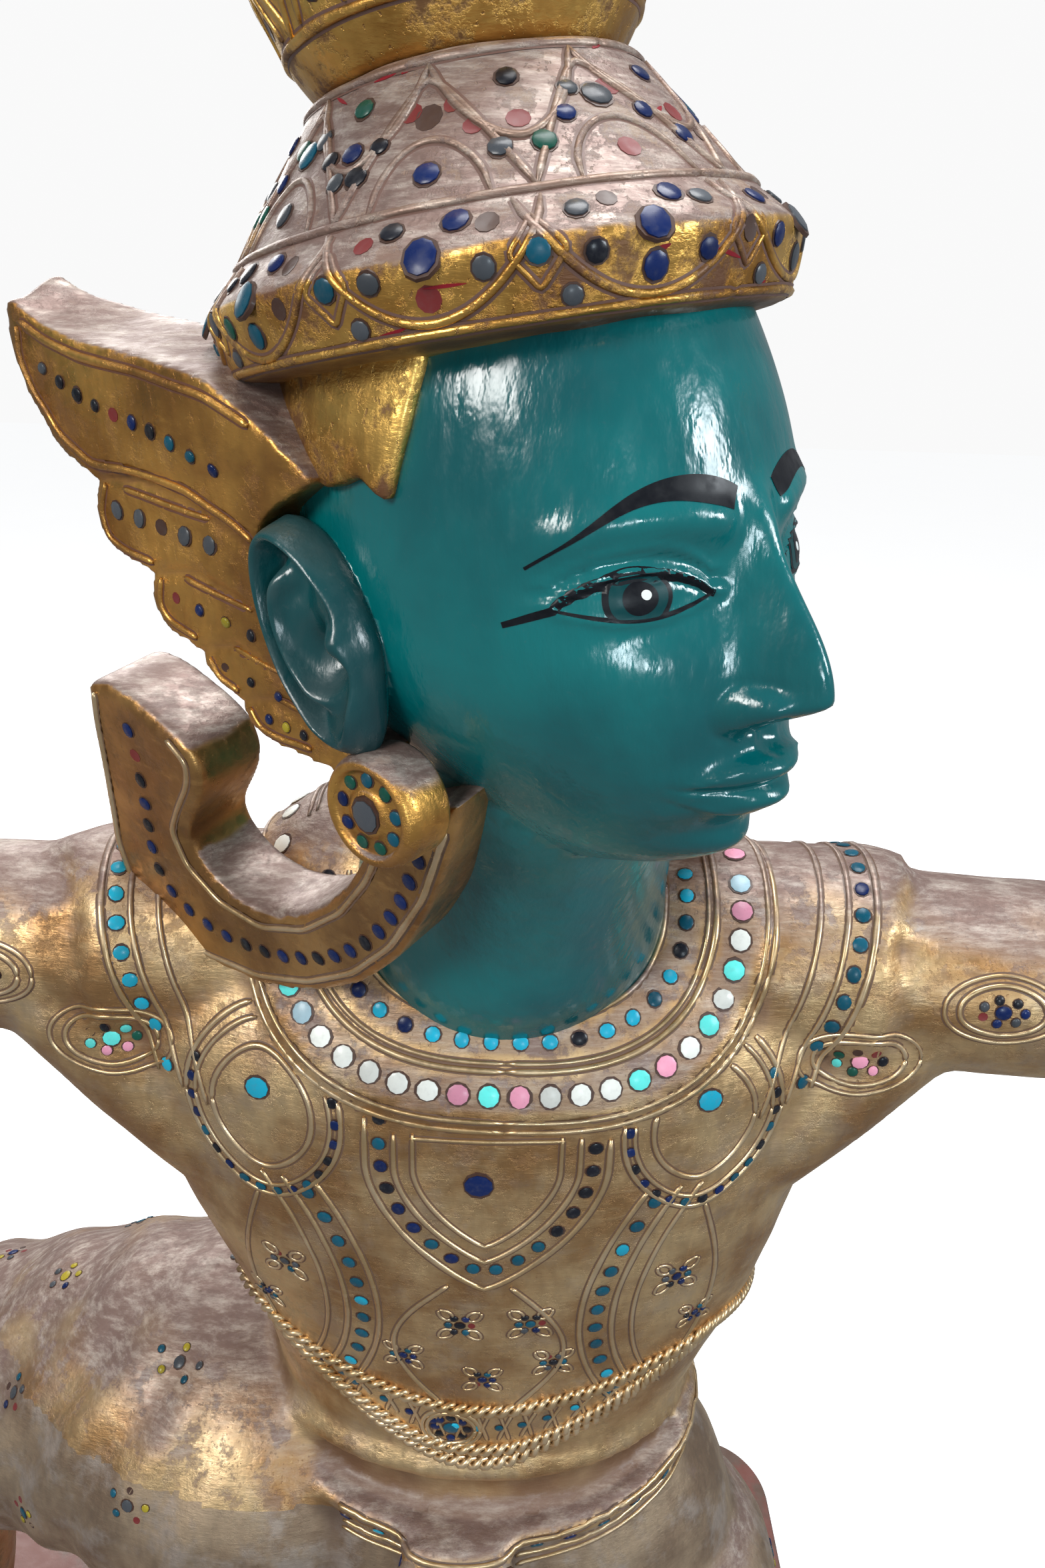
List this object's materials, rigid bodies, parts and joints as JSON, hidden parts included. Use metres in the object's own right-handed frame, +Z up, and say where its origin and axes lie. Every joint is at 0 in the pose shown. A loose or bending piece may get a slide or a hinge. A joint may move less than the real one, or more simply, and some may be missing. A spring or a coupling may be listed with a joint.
{
  "type": "kneeling archer statue",
  "caption": "Carved, gilded and lacquered wooden archer kneeling on a low plinth, arms spread, with a tall crown, ear boards and glass inlay.",
  "frame": {"origin": "middle of the plinth's underside", "axes": "+Z up; the body faces -Y; the bow arm reaches along +X"},
  "size_m": [1.2924, 0.6, 1.3658],
  "materials": {
    "gilding": "worn gold leaf over carved wood",
    "face_lacquer": "glossy blue-green lacquer over wood",
    "dusty_silver": "rubbed, dusty leaf on the faces that look up",
    "glass_inlay": "small mirror glass discs",
    "painted_line": "black and white paint on lacquer",
    "bow_lacquer": "gilded wood",
    "plinth_lacquer": "dark red lacquer with gilt mouldings"
  },
  "bodies": {
    "root": {"figure": "gilding", "crown_spire": "gilding", "ear_wing_right": "gilding", "ear_wing_left": "gilding", "shoulder_curl_right": "gilding", "shoulder_curl_left": "gilding", "bow": "bow_lacquer", "base": "plinth_lacquer"}
  },
  "joints": []
}
